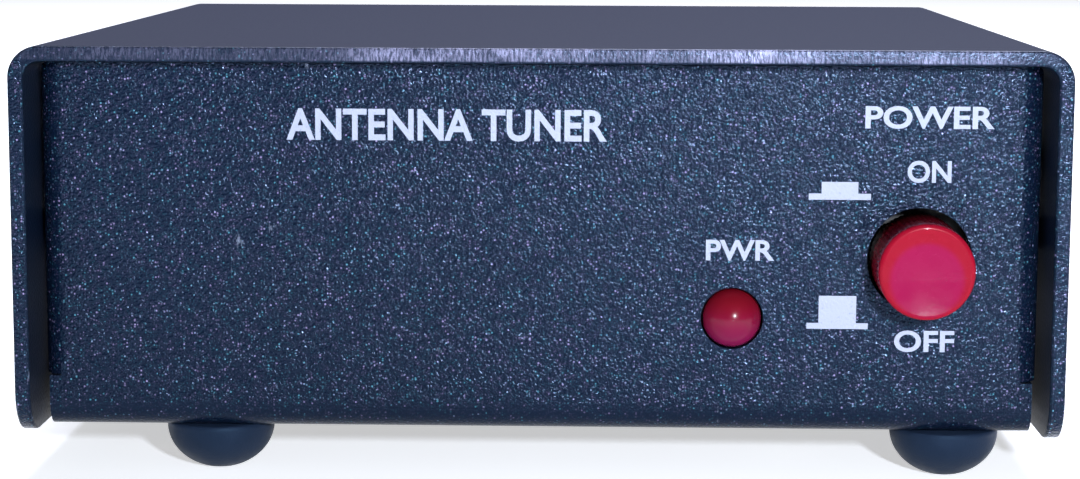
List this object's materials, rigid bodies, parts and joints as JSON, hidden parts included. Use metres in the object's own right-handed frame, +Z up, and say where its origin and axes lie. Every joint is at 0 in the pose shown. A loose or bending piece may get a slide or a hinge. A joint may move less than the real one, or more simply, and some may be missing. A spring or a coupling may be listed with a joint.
{
  "type": "antenna tuner",
  "caption": "Small black sheet-metal antenna matching unit with a latching red power button, a red lamp, coaxial sockets, a power jack and a ground post at the back.",
  "frame": {"origin": "centre of the object's box at its base, in the plane that the feet stand on", "axes": "+Y from the front panel to the connectors at the back, +Z up, +X to the right as seen from the front"},
  "size_m": [0.0982, 0.1022, 0.0398],
  "materials": {
    "black_paint": "satin fine-textured powder coat",
    "black_rubber": "soft matt moulded rubber",
    "black_plastic": "moulded",
    "red_plastic": "polished moulded",
    "red_lens": "clear tinted epoxy, diffused",
    "white_plastic": "moulded",
    "nickel_plate": "nickel plated, slightly dulled",
    "brass": "bright",
    "steel": "zinc plated",
    "copper": "enamelled copper wire",
    "board_green": "solder mask over glass-epoxy laminate",
    "ferrite": "matt sintered",
    "blue_plastic": "moulded and shrink sleeve",
    "wire_red": "vinyl insulation",
    "wire_black": "vinyl insulation"
  },
  "bodies": {
    "case": {"chassis_tray": "black_paint", "top_cover": "black_paint", "foot_front_left": "black_rubber", "foot_front_right": "black_rubber", "foot_rear_left": "black_rubber", "foot_rear_right": "black_rubber", "cover_screw_front_left": "nickel_plate", "cover_screw_rear_left": "nickel_plate", "cover_screw_front_right": "nickel_plate", "cover_screw_rear_right": "nickel_plate", "lamp_anode_lead": "nickel_plate", "lamp_cathode_lead": "nickel_plate", "radio_socket_shell": "nickel_plate", "antenna_socket_shell": "nickel_plate", "power_jack_pin": "nickel_plate", "power_jack_nut": "nickel_plate", "ground_post_nut": "nickel_plate", "standoff_front_left": "nickel_plate", "standoff_front_right": "nickel_plate", "standoff_rear_left": "nickel_plate", "standoff_rear_right": "nickel_plate", "board_screw_front_left": "nickel_plate", "board_screw_front_right": "nickel_plate", "board_screw_rear_left": "nickel_plate", "board_screw_rear_right": "nickel_plate", "switch_housing": "black_plastic", "power_jack_body": "black_plastic", "relay_base": "black_plastic", "switch_terminal_base": "brass", "radio_socket_contact": "brass", "antenna_socket_contact": "brass", "ground_post_screw": "brass", "radio_socket_insulator": "white_plastic", "antenna_socket_insulator": "white_plastic", "lamp_lens": "red_lens", "switch_return_spring": "steel", "radio_socket_rivet_high": "steel", "radio_socket_rivet_low": "steel", "antenna_socket_rivet_high": "steel", "antenna_socket_rivet_low": "steel", "relay_yoke": "steel", "relay_coil": "copper", "transformer_winding": "copper", "circuit_board": "board_green", "transformer_core": "ferrite", "relay_cover": "blue_plastic", "smoothing_capacitor": "blue_plastic", "balance_trimmer_body": "blue_plastic", "radio_lead": "wire_red", "power_lead_positive": "wire_red", "antenna_lead": "wire_black", "power_lead_negative": "wire_black"},
    "button": {"power_button_cap": "red_plastic", "switch_plunger": "white_plastic", "switch_contact_bridge": "brass"},
    "latch_pin": {"switch_latch_pin": "steel"},
    "armature": {"relay_armature": "steel"},
    "wing_nut": {"ground_wing_nut": "nickel_plate"},
    "trimmer_rotor": {"balance_trimmer_rotor": "white_plastic"}
  },
  "joints": [
    {"name": "power_button_slide", "type": "slide", "parent": "case", "child": "button", "axis": [0, 1, 0], "range_m": [0, 0.003], "stiffness_N_per_m": 400, "springref_m": -0.004, "deforming": ["switch_return_spring"]},
    {"name": "latch_pin_swing", "type": "hinge", "parent": "case", "child": "latch_pin", "pos_m": [0.0345, -0.0236, 0.0242], "axis": [0, 0, 1], "range_deg": [0, 8]},
    {"name": "relay_armature_tip", "type": "hinge", "parent": "case", "child": "armature", "pos_m": [-0.0079, 0.0048, 0.02376], "axis": [0, 1, 0], "range_deg": [0, 4.5], "stiffness_Nm_per_rad": 0.01, "springref_deg": -5.73},
    {"name": "wing_nut_turn", "type": "hinge", "parent": "case", "child": "wing_nut", "pos_m": [0, 0.0429, 0.0289], "axis": [0, 1, 0], "continuous": true},
    {"name": "trimmer_turn", "type": "hinge", "parent": "case", "child": "trimmer_rotor", "pos_m": [-0.022, -0.0222, 0.01566], "axis": [0, 0, 1], "range_deg": [-135, 135]}
  ],
  "couplings": [
    {"joint": "latch_pin_swing", "follows": "power_button_slide", "rad_per_m": 46}
  ]
}
